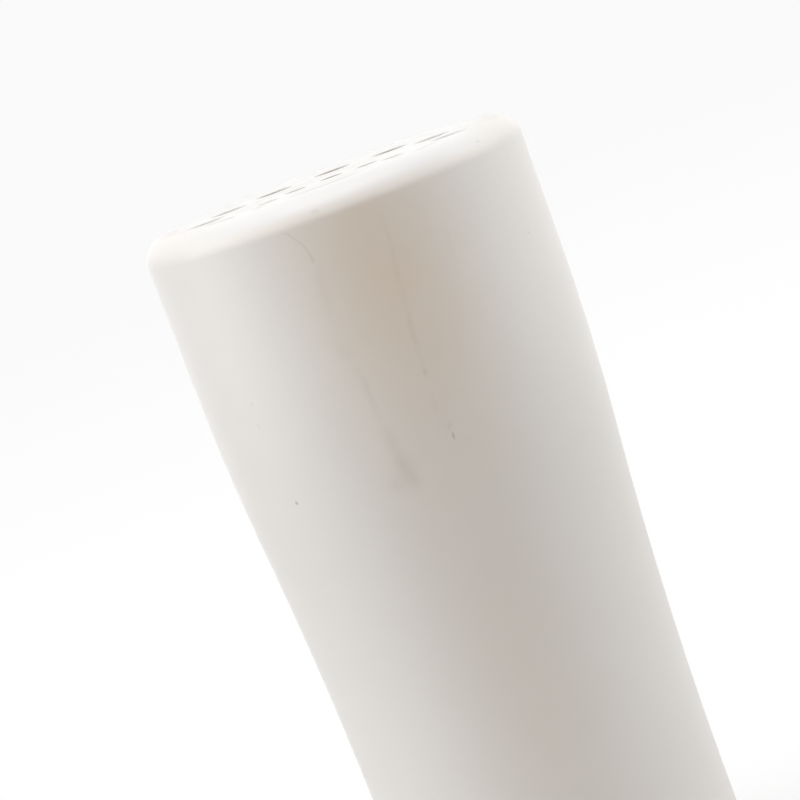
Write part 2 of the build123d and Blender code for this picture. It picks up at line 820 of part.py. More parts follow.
# Salt floor: disc under the bosses, boss for the drive socket, hole for the plug
seal_bore = floor_radius - seal_depth
socket_boss_radius = socket_radius + socket_boss_wall
plug_offset = socket_boss_radius + plug_boss_gap + plug_flange_radius
with BuildPart() as salt_floor:
    with BuildSketch(Plane.XY.offset(floor_low)):
        Circle(floor_radius)
        with Locations((plug_offset, 0)):
            Circle(plug_radius + running_gap, mode=Mode.SUBTRACT)
        with PolarLocations(boss_circle, arm_count, 180 / arm_count):
            Circle(screw_radius + running_gap, mode=Mode.SUBTRACT)
    extrude(amount=floor_thickness)
    with BuildSketch(Plane.XY.offset(seal_low)):
        Circle(body_radius)
        Circle(seal_bore, mode=Mode.SUBTRACT)
    extrude(amount=seal_height, mode=Mode.SUBTRACT)
    with BuildSketch(Plane.XY.offset(socket_low)):
        Circle(socket_boss_radius)
    extrude(amount=socket_boss_length)
    with BuildSketch(Plane.XY.offset(socket_low)):
        Circle(socket_radius)
    extrude(amount=socket_high - socket_low, mode=Mode.SUBTRACT)
salt_floor.part.label = "salt_floor"
export_step(salt_floor.part, "parts/salt_floor.step")

# Soft seal round the salt floor, up to the wall of the head
with BuildPart() as floor_seal:
    with BuildSketch(Plane.XY.offset(seal_low)):
        Circle(column_radius(seal_low, wall) - seal_gap)
        Circle(seal_bore, mode=Mode.SUBTRACT)
    extrude(amount=seal_height)
floor_seal.part.label = "floor_seal"
export_step(floor_seal.part, "parts/floor_seal.step")

# Screws that hold the salt floor to the head
with BuildPart() as floor_screws:
    add(
        slotted_screws(
            boss_circle, arm_count, 180 / arm_count, floor_low, floor_thickness + screw_bite
        )
    )
floor_screws.part.label = "floor_screws"
export_step(floor_screws.part, "parts/floor_screws.step")

# Metal socket in the floor's boss that turns the square shaft
with BuildPart() as drive_socket:
    with BuildSketch(Plane.XY.offset(socket_low)):
        Circle(socket_radius)
        Rectangle(shaft_size + 2 * running_gap, shaft_size + 2 * running_gap, mode=Mode.SUBTRACT)
    extrude(amount=socket_high - socket_low)
drive_socket.part.label = "drive_socket"
export_step(drive_socket.part, "parts/drive_socket.step")

# Salt plug with its pull tab, pushed in from below
with BuildPart() as salt_plug:
    with BuildSketch(Plane.XY.offset(floor_low - plug_flange)):
        with Locations((plug_offset, 0)):
            Circle(plug_flange_radius)
    extrude(amount=plug_flange)
    with BuildSketch(Plane.XY.offset(floor_low)):
        with Locations((plug_offset, 0)):
            Circle(plug_radius)
    extrude(amount=floor_thickness)
    with BuildSketch(Plane.XY.offset(floor_low - plug_flange - tab_height)):
        with Locations((plug_offset, 0)):
            RectangleRounded(tab_width, tab_length, tab_fillet)
    extrude(amount=tab_height)
salt_plug.part.label = "salt_plug"
export_step(salt_plug.part, "parts/salt_plug.step")
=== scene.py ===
"""Dresses the pepper mill: finishes, burr spring, grind scale, studio light and camera."""

import logging
import math
from dataclasses import dataclass
from enum import Enum
from typing import Any, Iterable, List, Mapping, Optional, Sequence, Tuple, Union

import bmesh
import bpy
from mathutils import Matrix, Vector


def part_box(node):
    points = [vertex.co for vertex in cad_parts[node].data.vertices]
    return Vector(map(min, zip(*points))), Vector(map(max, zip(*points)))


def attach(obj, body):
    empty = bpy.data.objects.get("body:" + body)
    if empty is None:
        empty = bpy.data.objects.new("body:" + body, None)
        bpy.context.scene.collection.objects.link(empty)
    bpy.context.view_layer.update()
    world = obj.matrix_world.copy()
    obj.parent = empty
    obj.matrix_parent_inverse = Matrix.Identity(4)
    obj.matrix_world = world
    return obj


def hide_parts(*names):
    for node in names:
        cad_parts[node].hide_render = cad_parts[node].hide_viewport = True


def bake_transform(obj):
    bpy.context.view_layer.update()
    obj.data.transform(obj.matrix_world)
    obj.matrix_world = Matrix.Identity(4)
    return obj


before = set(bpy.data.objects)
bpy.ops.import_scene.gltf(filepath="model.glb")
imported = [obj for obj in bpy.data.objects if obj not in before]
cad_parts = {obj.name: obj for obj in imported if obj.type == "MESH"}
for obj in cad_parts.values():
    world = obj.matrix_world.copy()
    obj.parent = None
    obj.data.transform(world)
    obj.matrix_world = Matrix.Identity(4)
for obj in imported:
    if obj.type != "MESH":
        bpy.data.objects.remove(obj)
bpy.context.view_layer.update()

Colour = Tuple[float, float, float]
Point = Tuple[float, float, float]
Span = Tuple[float, float]
Settings = Mapping[str, Any]
Inputs = Mapping[Union[str, int], Any]

MM = 0.001
NOISE_MIDDLE = 0.5
LOG = logging.getLogger("pepper_mill")

NEUTRAL: Colour = (1.0, 1.0, 1.0)
WARM: Colour = (1.0, 0.72, 0.50)
# Colour of dirt, also the colour of painted shade inside holes and on the head's top.
DIRT_AND_SHADE: Colour = (0.36, 0.30, 0.22)
PEPPER_DUST: Colour = (0.17, 0.13, 0.085)
TARNISH: Colour = (0.36, 0.33, 0.30)


class Op(Enum):
    """Math node operations that the finishes use."""

    ADD = "ADD"
    SUBTRACT = "SUBTRACT"
    MULTIPLY = "MULTIPLY"
    DIVIDE = "DIVIDE"
    POWER = "POWER"
    ABSOLUTE = "ABSOLUTE"
    MAXIMUM = "MAXIMUM"
    SQRT = "SQRT"
    SINE = "SINE"
    COSINE = "COSINE"
    ARCTAN2 = "ARCTAN2"
    MODULO = "FLOORED_MODULO"
    EXPONENT = "EXPONENT"


class Grain(Enum):
    """Which way the fine lines of a turned or drawn metal run."""

    ALONG = "along"
    ROUND = "round"


class Wire:
    """A node's output that takes part in Python arithmetic through Math nodes."""

    def __init__(self, graph: "Graph", socket: bpy.types.NodeSocket) -> None:
        """Keeps the graph and the socket."""
        self.graph = graph
        self.socket = socket

    def __add__(self, other: "Value") -> "Wire":
        """Adds a value."""
        return self.graph.math(Op.ADD, self, other)

    def __radd__(self, other: "Value") -> "Wire":
        """Adds to a number."""
        return self.graph.math(Op.ADD, other, self)

    def __sub__(self, other: "Value") -> "Wire":
        """Subtracts a value."""
        return self.graph.math(Op.SUBTRACT, self, other)

    def __rsub__(self, other: "Value") -> "Wire":
        """Subtracts from a number."""
        return self.graph.math(Op.SUBTRACT, other, self)

    def __mul__(self, other: "Value") -> "Wire":
        """Multiplies by a value."""
        return self.graph.math(Op.MULTIPLY, self, other)

    def __rmul__(self, other: "Value") -> "Wire":
        """Multiplies a number."""
        return self.graph.math(Op.MULTIPLY, other, self)

    def __truediv__(self, other: "Value") -> "Wire":
        """Divides by a value."""
        return self.graph.math(Op.DIVIDE, self, other)

    def __rtruediv__(self, other: "Value") -> "Wire":
        """Divides a number."""
        return self.graph.math(Op.DIVIDE, other, self)

    def __pow__(self, power: "Value") -> "Wire":
        """Raises to a power."""
        return self.graph.math(Op.POWER, self, power)

    def __mod__(self, other: "Value") -> "Wire":
        """Remainder, never below zero."""
        return self.graph.math(Op.MODULO, self, other)

    def __neg__(self) -> "Wire":
        """Changes the sign."""
        return self.graph.math(Op.SUBTRACT, 0.0, self)

    def __abs__(self) -> "Wire":
        """Drops the sign."""
        return self.graph.math(Op.ABSOLUTE, self)

    def step(self, low: float, high: float) -> "Wire":
        """Makes a smooth step, which falls where high is the lower value.

        Args:
            low: Where the step is 0.
            high: Where the step is 1.

        Returns:
            The step, from 0 to 1.
        """
        ends = {1: low, 2: high} if low < high else {1: high, 2: low, 3: 1.0, 4: 0.0}
        settings = {"interpolation_type": "SMOOTHSTEP"}
        return self.graph.wire("ShaderNodeMapRange", settings, {0: self, **ends})

    def bell(self, width: float) -> "Wire":
        """Makes a bell-shaped mask around zero."""
        share = self / width
        return self.graph.math(Op.EXPONENT, -(share * share))


Value = Union[Wire, float]
Paint = Union[Wire, Colour]


@dataclass(frozen=True)
class Place:
    """A shaded point in the object's own frame, in millimetres and degrees."""

    graph: "Graph"
    point: Wire
    x: Wire
    y: Wire
    z: Wire
    radius: Wire
    angle: Wire


class Graph:
    """Node tree of one material or of the world."""

    def __init__(self, tree: bpy.types.NodeTree) -> None:
        """Empties the tree."""
        self.tree = tree
        self.tree.nodes.clear()

    def node(
        self,
        kind: str,
        settings: Optional[Settings] = None,
        inputs: Optional[Inputs] = None,
    ) -> bpy.types.Node:
        """Adds a node, sets it up and then feeds its sockets.

        Args:
            kind: Blender's type name of the node.
            settings: Properties of the node; "stops" holds a ramp's (position, grey) pairs.
            inputs: Values or wires by socket name or number.

        Returns:
            The new node.
        """
        made = self.tree.nodes.new(kind)
        for name, value in (settings or {}).items():
            if name == "stops":
                self._set_stops(made.color_ramp, value)
            else:
                setattr(made, name, value)
        for key, value in (inputs or {}).items():
            socket = made.inputs[key]
            if isinstance(value, Wire):
                self.tree.links.new(value.socket, socket)
            elif socket.type == "RGBA":
                socket.default_value = (*value, 1.0)
            else:
                socket.default_value = value
        return made

    @staticmethod
    def _set_stops(ramp: bpy.types.ColorRamp, stops: Sequence[Span]) -> None:
        """Gives a ramp its grey stops.

        Args:
            ramp: The node's colour ramp.
            stops: Positions from 0 to 1, in order, with their grey levels.
        """
        while len(ramp.elements) < len(stops):
            ramp.elements.new(1.0)
        for element, (position, grey) in zip(ramp.elements, stops):
            element.position = position
            element.color = (grey, grey, grey, 1.0)

    def wire(
        self,
        kind: str,
        settings: Optional[Settings] = None,
        inputs: Optional[Inputs] = None,
        output: Union[str, int] = 0,
    ) -> Wire:
        """Adds a node and returns one of its outputs.

        Args:
            kind: Blender's type name of the node.
            settings: Properties of the node.
            inputs: Values or wires by socket name or number.
            output: Name or number of the output.

        Returns:
            The output as a wire.
        """
        return Wire(self, self.node(kind, settings, inputs).outputs[output])

    def math(self, op: Op, *values: Value) -> Wire:
        """Adds a Math node on one or two values."""
        return self.wire("ShaderNodeMath", {"operation": op.value}, dict(enumerate(values)))

    def place(self) -> Place:
        """Works out where a shaded point lies on the object.

        Returns:
            The point in millimetres, its distance from the axis, and its angle from the front.
        """
        object_point = self.wire("ShaderNodeTexCoord", output="Object")
        point = self.wire(
            "ShaderNodeVectorMath", {"operation": "SCALE"}, {0: object_point, "Scale": 1 / MM}
        )
        split = self.node("ShaderNodeSeparateXYZ", inputs={0: point})
        x, y, z = (Wire(self, split.outputs[axis]) for axis in "XYZ")
        radius = self.math(Op.SQRT, x * x + y * y)
        angle = self.math(Op.ARCTAN2, x, -y) * math.degrees(1)
        return Place(self, point, x, y, z, radius, angle)

    def mix(self, factor: Value, first: Paint, second: Paint) -> Wire:
        """Blends two colours."""
        settings = {"data_type": "RGBA"}
        return self.wire("ShaderNodeMix", settings, {0: factor, 6: first, 7: second}, output=2)


class Surface(Graph):
    """Node tree of a material with one Principled shader."""

    def __init__(self, name: str) -> None:
        """Makes the material and empties its tree.

        Args:
            name: The material's name.
        """
        self.material = bpy.data.materials.new(name)
        self.material.use_nodes = True
        super().__init__(self.material.node_tree)

    def close(self, inputs: Inputs) -> bpy.types.Material:
        """Adds the shader and the output.

        Args:
            inputs: Values or wires of the Principled shader's sockets.

        Returns:
            The finished material.
        """
        shader = self.wire("ShaderNodeBsdfPrincipled", inputs=inputs)
        self.node("ShaderNodeOutputMaterial", inputs={"Surface": shader})
        return self.material


@dataclass(frozen=True)
class Pattern:
    """Noise in a finish: width of its patches in millimetres, finer layers, twist and cut."""

    size: float
    detail: float = 3.0
    rough: float = 0.5
    warp: float = 0.0
    edge: Optional[Span] = None
    stretch: Optional[Point] = None

    def draw(self, point: Wire) -> Wire:
        """Draws the pattern.

        Args:
            point: Where it is read, in millimetres.

        Returns:
            Noise from 0 to 1 around its middle, or a mask where the pattern has an edge.
        """
        if self.stretch:
            drawn_out = {0: point, 1: self.stretch}
            point = point.graph.wire("ShaderNodeVectorMath", {"operation": "MULTIPLY"}, drawn_out)
        inputs = {
            "Vector": point,
            "Scale": 1 / self.size,
            "Detail": self.detail,
            "Roughness": self.rough,
            "Distortion": self.warp,
        }
        noise = point.graph.wire("ShaderNodeTexNoise", {"noise_dimensions": "3D"}, inputs)
        return noise.step(*self.edge) if self.edge else noise


@dataclass(frozen=True)
class Relief:
    """A fine relief: its full height in millimetres and the share of it that shows."""

    depth: float
    strength: float

    def normal(self, height: Wire) -> Wire:
        """Turns a height pattern, from 0 to 1, into a normal."""
        inputs = {"Height": height, "Distance": self.depth * MM, "Strength": self.strength}
        return height.graph.wire("ShaderNodeBump", inputs=inputs, output="Normal")


@dataclass(frozen=True)
class Streak:
    """A dried run down the head: its way in (height mm, angle degrees), from the bottom up."""

    way: Tuple[Span, ...]
    width: float
    strength: float
    gaps: float
    waver: Pattern = Pattern(2.2)
    breaks: Pattern = Pattern(3.4, 4.0, 0.6, edge=(0.40, 0.60))
    least_fade: float = 0.06
    fade_widths: float = 0.9

    def mask(self, place: Place, radius: float) -> Wire:
        """Draws the run.

        Args:
            place: The shaded point.
            radius: Radius of the shell in millimetres.

        Returns:
            The run's strength over the surface.
        """
        heights = [height for height, _ in self.way]
        angles = [angle for _, angle in self.way]
        low, span = heights[0], heights[-1] - heights[0]
        least, swing = min(angles), max(angles) - min(angles)
        stops = [((height - low) / span, (angle - least) / swing) for height, angle in self.way]
        along = (place.z - low) / span
        ramp = place.graph.wire("ShaderNodeValToRGB", {"stops": stops}, {"Fac": along})
        centre = ramp * swing + least
        wander = (self.waver.draw(place.point) - NOISE_MIDDLE) * self.width
        offset = (place.angle - centre) * math.radians(radius) + wander
        fade = self.least_fade + self.fade_widths * self.width / span
        ends = along.step(0.0, fade) * along.step(1.0, 1 - fade)
        dense = self.breaks.draw(place.point) * self.gaps + (1 - self.gaps)
        return offset.bell(self.width) * ends * dense * self.strength


@dataclass(frozen=True)
class Patch:
    """A place on a shell: height and half sizes in millimetres, angle in degrees."""

    height: float
    angle: float
    width: float
    tall: float
    strength: float

    def reach(self, place: Place, radius: float) -> Wire:
        """Measures how far a point is from the middle of the patch.

        Args:
            place: The shaded point.
            radius: Radius of the shell in millimetres.

        Returns:
            The distance as a share of the patch's half size.
        """
        across = (place.angle - self.angle) * (math.radians(radius) / self.width)
        up = (place.z - self.height) / self.tall
        return place.graph.math(Op.SQRT, across * across + up * up)


@dataclass(frozen=True)
class Spot(Patch):
    """A speck or smudge on a shell, with a ragged edge."""

    raggedness: float = 0.8
    edge: Span = (1.3, 0.5)
    edge_detail: float = 2.0

    def mask(self, place: Place, radius: float) -> Wire:
        """Draws the spot.

        Args:
            place: The shaded point.
            radius: Radius of the shell in millimetres.

        Returns:
            The spot's strength over the surface.
        """
        noise = Pattern(self.width, self.edge_detail).draw(place.point)
        fray = (noise - NOISE_MIDDLE) * self.raggedness
        return (self.reach(place, radius) + fray).step(*self.edge) * self.strength


@dataclass(frozen=True)
class Tint(Patch):
    """A soft patch on a shell, used for stains and for painted shade and painted light."""

    colour: Colour
    clouds: Pattern = Pattern(6.0)
    cloud_low: float = 0.7
    cloud_rise: float = 0.6

    def mask(self, place: Place, radius: float) -> Wire:
        """Draws the patch, soft and a little cloudy.

        Args:
            place: The shaded point.
            radius: Radius of the shell in millimetres.

        Returns:
            The patch's strength over the surface.
        """
        clouds = self.clouds.draw(place.point) * self.cloud_rise + self.cloud_low
        return self.reach(place, radius).bell(1.0) * clouds * self.strength


@dataclass(frozen=True)
class Crown:
    """The head's rim and top, in millimetres: painted light makes them whiter than the column and
    less so at the left and right ends, and painted shade darkens the middle of the top.
    """

    low: float
    high: float
    lit_rim_colour: Colour
    lit_top_colour: Colour
    # Painted shade in the middle of the top: a darker disc, and a darker band across its front
    # half.
    shade_disc_radius: float
    shade_disc_strength: float
    shade_band_middle: Tuple[float, float]
    shade_band_reach: float
    shade_band_width: float
    shade_band_strength: float
    top_edge: Span = (168.5, 169.7)
    # Where the painted light is less: painted shade at the left front and the right of the rim.
    left_edge: Span = (-9.0, -21.0)
    left_front: Span = (6.0, -4.0)
    left_shade: float = 0.85
    right_edge: Span = (16.0, 23.0)
    right_front: Span = (10.0, 0.0)
    right_shade: float = 0.5
    right_front_shade: float = 0.4
    clouds: Pattern = Pattern(2.5, 4.0)
    cloud_low: float = 0.6
    cloud_rise: float = 0.8
    core: float = 0.4

    def clean(self, place: Place) -> Wire:
        """Share of the painted light, a whiter colour.

        Args:
            place: The shaded point.

        Returns:
            The share, which grows over the rim and is less to the left and right, as painted shade
            at those ends of the rim.
        """
        # Painted shade: less of the painted light at the left front and the right of the rim.
        left = place.x.step(*self.left_edge) * place.y.step(*self.left_front) * self.left_shade
        right_front = place.y.step(*self.right_front) * self.right_front_shade
        right = place.x.step(*self.right_edge) * (right_front + self.right_shade)
        return place.z.step(self.low, self.high) * (1 - left - right)

    def paint(self, place: Place) -> Wire:
        """The painted light's whiter colour, from the rim to the top."""
        return place.graph.mix(place.z.step(*self.top_edge), self.lit_rim_colour, self.lit_top_colour)

    def dirt_and_shade(self, place: Place) -> Wire:
        """Painted shade in the middle of the top, with a darker band across its front half.

        Args:
            place: The shaded point.

        Returns:
            The painted shade's strength over the surface.
        """
        band_x, band_y = self.shade_band_middle
        top = place.z.step(self.low, self.high)
        clouds = self.clouds.draw(place.point) * self.cloud_rise + self.cloud_low
        # Painted shade: the disc in the middle and the band across the front half of the top.
        middle = place.radius.step(self.shade_disc_radius, self.shade_disc_radius * self.core)
        across = abs(place.x - band_x).step(self.shade_band_reach, self.shade_band_reach * self.core)
        shade_band = (place.y - band_y).bell(self.shade_band_width) * across
        return top * clouds * (middle * self.shade_disc_strength + shade_band * self.shade_band_strength)


@dataclass(frozen=True)
class HoleRing:
    """A ring of shaker holes in the top, in millimetres."""

    circle: float
    radius: float
    count: int
    edge: float
    # Strength of the painted shade inside the holes at the back.
    dirt_and_shade: float
    rim_far: float = 0.7
    rim_near: float = 0.1
    rim_soil: float = 0.05
    crumbs: Pattern = Pattern(0.8, 4.0, 0.65, edge=(0.46, 0.7))
    back_power: float = 1.5

    def distance(self, place: Place) -> Wire:
        """Measures how far a point is from the nearest hole.

        Args:
            place: The shaded point.

        Returns:
            Distance from the centre of the nearest hole of the ring.
        """
        pitch = 360 / self.count
        turn = ((place.angle + pitch / 2) % pitch - pitch / 2) * math.radians(1)
        across = place.radius * place.graph.math(Op.SINE, turn)
        outwards = place.radius * place.graph.math(Op.COSINE, turn) - self.circle
        return place.graph.math(Op.SQRT, across * across + outwards * outwards)

    def mask(self, place: Place) -> Wire:
        """Draws crumbs round the holes, and painted shade inside those at the back.

        Args:
            place: The shaded point.

        Returns:
            The strength of the crumbs and the painted shade over the surface.
        """
        gap = self.distance(place)
        rim = gap.step(self.radius + self.rim_far, self.radius + self.rim_near)
        crumbs = self.crumbs.draw(place.point)
        # Painted shade: the holes at the back are darkened inside, more so further back.
        inside = gap.step(self.radius + self.edge, self.radius)
        back = (place.graph.math(Op.MAXIMUM, place.y, 0.0) / self.circle) ** self.back_power
        return rim * crumbs * self.rim_soil + inside * self.dirt_and_shade * back


@dataclass(frozen=True)
class SatinShell:
    """Satin white plastic of the two shells, with the marks of use and with any painted light and
    painted shade that it is given.
    """

    name: str
    radius: float
    seam: float
    colour: Colour = (0.83, 0.82, 0.80)
    worn: Colour = (0.80, 0.785, 0.75)
    dirt_and_shade: Colour = DIRT_AND_SHADE
    roughness: float = 0.46
    streaks: Tuple[Streak, ...] = ()
    spots: Tuple[Spot, ...] = ()
    tints: Tuple[Tint, ...] = ()
    crown: Optional[Crown] = None
    holes: Tuple[HoleRing, ...] = ()
    seam_width: float = 0.7
    seam_soil: float = 0.25
    cloud: Pattern = Pattern(22.0, 4.0, 0.55)
    cloud_wear: float = 0.35
    cloud_sheen: float = 0.10
    film: Pattern = Pattern(9.0, 5.0, 0.6, 0.4, edge=(0.42, 0.72))
    film_wear: float = 0.25
    film_sheen: float = 0.05
    grain: Pattern = Pattern(0.35, 2.0)
    grain_height: float = 0.6
    waves: Pattern = Pattern(5.0, 2.0)
    wave_height: float = 0.4
    soil_sheen: float = 0.25
    soil_height: float = 0.5
    relief: Relief = Relief(0.012, 0.35)
    ior: float = 1.48

    def marks(self, place: Place) -> Wire:
        """Draws the line of the seam, all marks of use and the painted shade.

        Args:
            place: The shaded point.

        Returns:
            The strongest of the marks and the painted shade at each point.
        """
        marks = (place.z - self.seam).bell(self.seam_width) * self.seam_soil
        masks = [mark.mask(place, self.radius) for mark in (*self.streaks, *self.spots)]
        masks += [ring.mask(place) for ring in self.holes]
        if self.crown:
            masks.append(self.crown.dirt_and_shade(place))
        for mask in masks:
            marks = place.graph.math(Op.MAXIMUM, marks, mask)
        return marks

    def paint(self, place: Place, wear: Wire) -> Wire:
        """Paints the shell without its marks, with its tints, which hold painted shade and painted
        light, and with the crown's painted light.

        Args:
            place: The shaded point.
            wear: Share of the worn colour.

        Returns:
            The colour.
        """
        paint = place.graph.mix(wear, self.colour, self.worn)
        for tint in self.tints:
            # Some tints are painted shade and painted light, the others stains.
            paint = place.graph.mix(tint.mask(place, self.radius), paint, tint.colour)
        if self.crown:
            # The crown's whiter colour is painted light on the rim and top.
            crown_light = self.crown.paint(place)
            paint = place.graph.mix(self.crown.clean(place), paint, crown_light)
        return paint

    def material(self) -> bpy.types.Material:
        """Builds the shell's material.

        Returns:
            The material.
        """
        surface = Surface(self.name)
        place = surface.place()
        cloud = self.cloud.draw(place.point)
        film = self.film.draw(place.point)
        grain = self.grain.draw(place.point) * self.grain_height
        waves = self.waves.draw(place.point) * self.wave_height
        marks = self.marks(place)
        paint = self.paint(place, cloud * self.cloud_wear + film * self.film_wear)
        sheen = self.roughness + (cloud - NOISE_MIDDLE) * self.cloud_sheen
        sheen = sheen + marks * self.soil_sheen - film * self.film_sheen
        return surface.close(
            {
                # Dirt and painted shade both darken the colour towards the same brown.
                "Base Color": surface.mix(marks, paint, self.dirt_and_shade),
                "Roughness": sheen,
                "Normal": self.relief.normal(grain + waves + marks * self.soil_height),
                "IOR": self.ior,
            }
        )


@dataclass(frozen=True)
class MouldedPlastic:
    """Plain moulded plastic with flow marks, a fine grain and some dust."""

    name: str
    colour: Colour
    flow: Colour
    dust: Colour
    roughness: float
    dust_amount: float
    swirl: Pattern = Pattern(6.0, 4.0, 0.55, 1.2, stretch=(1.0, 1.0, 0.35))
    swirl_sheen: float = 0.16
    specks: Pattern = Pattern(0.55, 3.0, 0.7, edge=(0.60, 0.72))
    patches: Pattern = Pattern(5.0, edge=(0.40, 0.66))
    dust_sheen: float = 0.3
    grain: Pattern = Pattern(0.22, 2.0)
    relief: Relief = Relief(0.015, 0.4)
    ior: float = 1.49

    def material(self) -> bpy.types.Material:
        """Builds the material.

        Returns:
            The material.
        """
        surface = Surface(self.name)
        place = surface.place()
        swirl = self.swirl.draw(place.point)
        specks = self.specks.draw(place.point)
        dusty = specks * self.patches.draw(place.point) * self.dust_amount
        grain = self.grain.draw(place.point)
        paint = surface.mix(swirl, self.colour, self.flow)
        swing = (swirl - NOISE_MIDDLE) * self.swirl_sheen
        return surface.close(
            {
                "Base Color": surface.mix(dusty, paint, self.dust),
                "Roughness": self.roughness + swing + dusty * self.dust_sheen,
                "Normal": self.relief.normal(grain + dusty),
                "IOR": self.ior,
            }
        )


@dataclass(frozen=True)
class ClearPlastic:
    """Clear moulded tube with flow lines, and dust from the pepper that settles low down."""

    name: str
    colour: Colour
    dust: Colour
    roughness: float
    flow: Pattern = Pattern(4.0, stretch=(1.0, 1.0, 0.12))
    flow_sheen: float = 0.06
    specks: Pattern = Pattern(0.6, 3.0, 0.7, edge=(0.58, 0.70))
    dust_levels: Span = (75.0, 42.0)
    settled_dust: float = 0.6
    spread_dust: float = 0.12
    dust_sheen: float = 0.4
    relief: Relief = Relief(0.02, 0.25)
    ior: float = 1.49
    clearness: float = 0.94

    def material(self) -> bpy.types.Material:
        """Builds the material.

        Returns:
            The material.
        """
        surface = Surface(self.name)
        place = surface.place()
        flow = self.flow.draw(place.point)
        low_down = place.z.step(*self.dust_levels) * self.settled_dust
        dusty = self.specks.draw(place.point) * (low_down + self.spread_dust)
        return surface.close(
            {
                "Base Color": surface.mix(dusty, self.colour, self.dust),
                "Roughness": self.roughness + flow * self.flow_sheen + dusty * self.dust_sheen,
                "Normal": self.relief.normal(flow),
                "IOR": self.ior,
                "Transmission Weight": self.clearness,
            }
        )


@dataclass(frozen=True)
class Metal:
    """Drawn, turned or polished metal."""

    name: str
    colour: Colour
    tarnish: Colour
    roughness: float
    tarnish_amount: float
    grain: Grain
    drawn_lines: Pattern = Pattern(0.18, 3.0, 0.6, stretch=(1.0, 1.0, 0.03))
    turned_lines: Pattern = Pattern(0.14, 3.0, 0.6)
    line_sheen: float = 0.22
    blotch: Pattern = Pattern(2.8, 4.0, 0.6, edge=(0.5, 0.74))
    tarnish_sheen: float = 0.3
    relief: Relief = Relief(0.006, 0.5)

    def material(self) -> bpy.types.Material:
        """Builds the material.

        Returns:
            The material.
        """
        surface = Surface(self.name)
        place = surface.place()
        if self.grain is Grain.ALONG:
            lines = self.drawn_lines.draw(place.point)
        else:
            ring = surface.wire("ShaderNodeCombineXYZ", inputs={0: place.radius, 1: place.z})
            lines = self.turned_lines.draw(ring)
        tarnish = self.blotch.draw(place.point) * self.tarnish_amount
        swing = (lines - NOISE_MIDDLE) * self.line_sheen
        return surface.close(
            {
                "Base Color": surface.mix(tarnish, self.colour, self.tarnish),
                "Metallic": 1.0,
                "Roughness": self.roughness + swing + tarnish * self.tarnish_sheen,
                "Normal": self.relief.normal(lines),
            }
        )


@dataclass(frozen=True)
class BurrCeramic:
    """Sintered ceramic of the burrs, stained by pepper."""

    name: str
    colour: Colour
    stain: Colour
    roughness: float
    grit: Pattern = Pattern(0.3, 4.0, 0.7)
    grit_sheen: float = 0.2
    stains: Pattern = Pattern(3.2, 5.0, 0.65, 0.5, edge=(0.44, 0.74))
    stain_amount: float = 0.4
    specks: Pattern = Pattern(0.7, 2.0, edge=(0.64, 0.70))
    speck_amount: float = 0.7
    soil_sheen: float = 0.2
    relief: Relief = Relief(0.03, 0.45)
    ior: float = 1.6

    def material(self) -> bpy.types.Material:
        """Builds the material.

        Returns:
            The material.
        """
        surface = Surface(self.name)
        place = surface.place()
        grit = self.grit.draw(place.point)
        stains = self.stains.draw(place.point) * self.stain_amount
        specks = self.specks.draw(place.point) * self.speck_amount
        soiled = surface.math(Op.MAXIMUM, stains, specks)
        swing = (grit - NOISE_MIDDLE) * self.grit_sheen
        return surface.close(
            {
                "Base Color": surface.mix(soiled, self.colour, self.stain),
                "Roughness": self.roughness + swing + soiled * self.soil_sheen,
                "Normal": self.relief.normal(grit),
                "IOR": self.ior,
            }
        )


@dataclass(frozen=True)
class SoftRubber:
    """Moulded rubber or silicone with a bloom and a little lint."""

    name: str
    colour: Colour
    bloom: Colour
    roughness: float
    haze: Pattern = Pattern(4.0, 4.0, 0.6, edge=(0.38, 0.74))
    haze_amount: float = 0.45
    haze_sheen: float = 0.12
    lint: Pattern = Pattern(0.5, 2.0, 0.6, edge=(0.68, 0.74))
    lint_amount: float = 0.4
    grain: Pattern = Pattern(0.16, 2.0)
    relief: Relief = Relief(0.02, 0.4)
    ior: float = 1.45

    def material(self) -> bpy.types.Material:
        """Builds the material.

        Returns:
            The material.
        """
        surface = Surface(self.name)
        place = surface.place()
        haze = self.haze.draw(place.point)
        lint = self.lint.draw(place.point) * self.lint_amount
        grain = self.grain.draw(place.point)
        return surface.close(
            {
                "Base Color": surface.mix(haze * self.haze_amount + lint, self.colour, self.bloom),
                "Roughness": self.roughness + (haze - NOISE_MIDDLE) * self.haze_sheen,
                "Normal": self.relief.normal(grain),
                "IOR": self.ior,
            }
        )


Finish = Union[SatinShell, MouldedPlastic, ClearPlastic, Metal, BurrCeramic, SoftRubber]

BEARING = MouldedPlastic(
    "bearing_plastic",
    colour=(0.62, 0.61, 0.59),
    flow=(0.66, 0.65, 0.62),
    dust=PEPPER_DUST,
    roughness=0.38,
    dust_amount=0.35,
)
BUSH = MouldedPlastic(
    "bush_plastic",
    colour=(0.58, 0.57, 0.55),
    flow=(0.63, 0.62, 0.60),
    dust=PEPPER_DUST,
    roughness=0.36,
    dust_amount=0.3,
)
INNER = MouldedPlastic(
    "inner_white",
    colour=(0.74, 0.73, 0.71),
    flow=(0.78, 0.77, 0.75),
    dust=(0.62, 0.60, 0.56),
    roughness=0.45,
    dust_amount=0.3,
)
DARK = MouldedPlastic(
    "mechanism_plastic",
    colour=(0.030, 0.030, 0.032),
    flow=(0.045, 0.044, 0.044),
    dust=PEPPER_DUST,
    roughness=0.42,
    dust_amount=0.7,
)
CLEAR = ClearPlastic(
    "clear_tube", colour=(0.94, 0.95, 0.95), dust=(0.30, 0.24, 0.18), roughness=0.05
)
STEEL_ALONG = Metal(
    "drawn_steel",
    colour=(0.62, 0.61, 0.60),
    tarnish=TARNISH,
    roughness=0.30,
    tarnish_amount=0.45,
    grain=Grain.ALONG,
)
